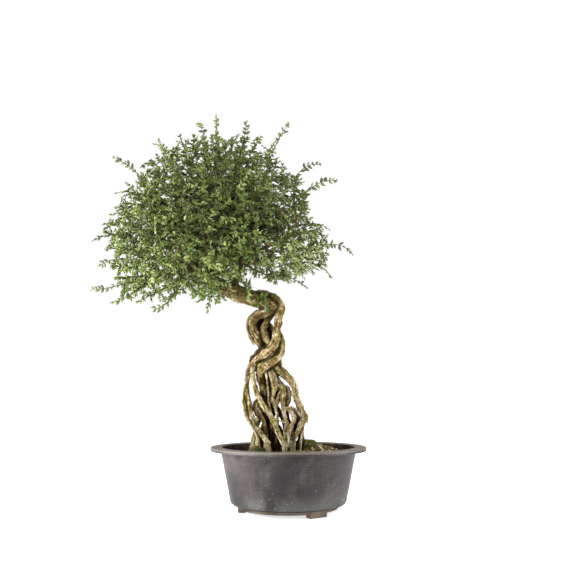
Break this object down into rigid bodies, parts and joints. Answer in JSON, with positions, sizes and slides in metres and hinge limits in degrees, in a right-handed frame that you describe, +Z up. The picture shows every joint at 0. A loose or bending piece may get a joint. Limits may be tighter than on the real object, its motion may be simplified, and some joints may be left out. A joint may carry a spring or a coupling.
{
  "type": "chinese elm bonsai",
  "caption": "Bonsai tree with a leaning leafy crown on a braided, exposed-root trunk, standing in soil and moss in a round flanged plastic training pot.",
  "frame": {"origin": "on the surface the pot stands on, under the middle of the whole plant's box", "axes": "+Z up, the tree's height; -Y towards the viewer of the picture; +X to the viewer's right, where the pot stands; the crown leans to -X"},
  "size_m": [0.568, 0.4024, 0.8211],
  "materials": {
    "pot_plastic": "matte, dusty",
    "soil": "crumbly, damp",
    "bark": "rough, ridged",
    "moss": "soft, fuzzy",
    "leaf": "satin"
  },
  "bodies": {
    "root": {"pot": "pot_plastic", "soil": "soil", "roots_trunk_and_branches": "bark", "moss_left": "moss", "moss_front": "moss", "moss_right": "moss", "leafy_shoot_01": "leaf", "leafy_shoot_02": "leaf", "leafy_shoot_03": "leaf", "leafy_shoot_04": "leaf", "leafy_shoot_05": "leaf", "leafy_shoot_06": "leaf", "leafy_shoot_07": "leaf", "leafy_shoot_08": "leaf", "leafy_shoot_09": "leaf", "leafy_shoot_10": "leaf", "leafy_shoot_11": "leaf", "leafy_shoot_12": "leaf", "leafy_shoot_13": "leaf", "leafy_shoot_14": "leaf", "leafy_shoot_15": "leaf", "leafy_shoot_16": "leaf", "leafy_shoot_17": "leaf", "leafy_shoot_18": "leaf", "leafy_shoot_19": "leaf", "leafy_shoot_20": "leaf", "leafy_shoot_21": "leaf", "leafy_shoot_22": "leaf", "leafy_shoot_23": "leaf", "leafy_shoot_24": "leaf", "leafy_shoot_25": "leaf", "leafy_shoot_26": "leaf", "leafy_shoot_27": "leaf", "leafy_shoot_28": "leaf", "leafy_shoot_29": "leaf", "leafy_shoot_30": "leaf", "leafy_shoot_31": "leaf", "leafy_shoot_32": "leaf", "leafy_shoot_33": "leaf", "leafy_shoot_34": "leaf", "leafy_shoot_35": "leaf", "leafy_shoot_36": "leaf", "leafy_shoot_37": "leaf", "leafy_shoot_38": "leaf", "leafy_shoot_39": "leaf", "leafy_shoot_40": "leaf", "leafy_shoot_41": "leaf", "leafy_shoot_42": "leaf", "leafy_shoot_43": "leaf", "leafy_shoot_44": "leaf"}
  },
  "joints": []
}
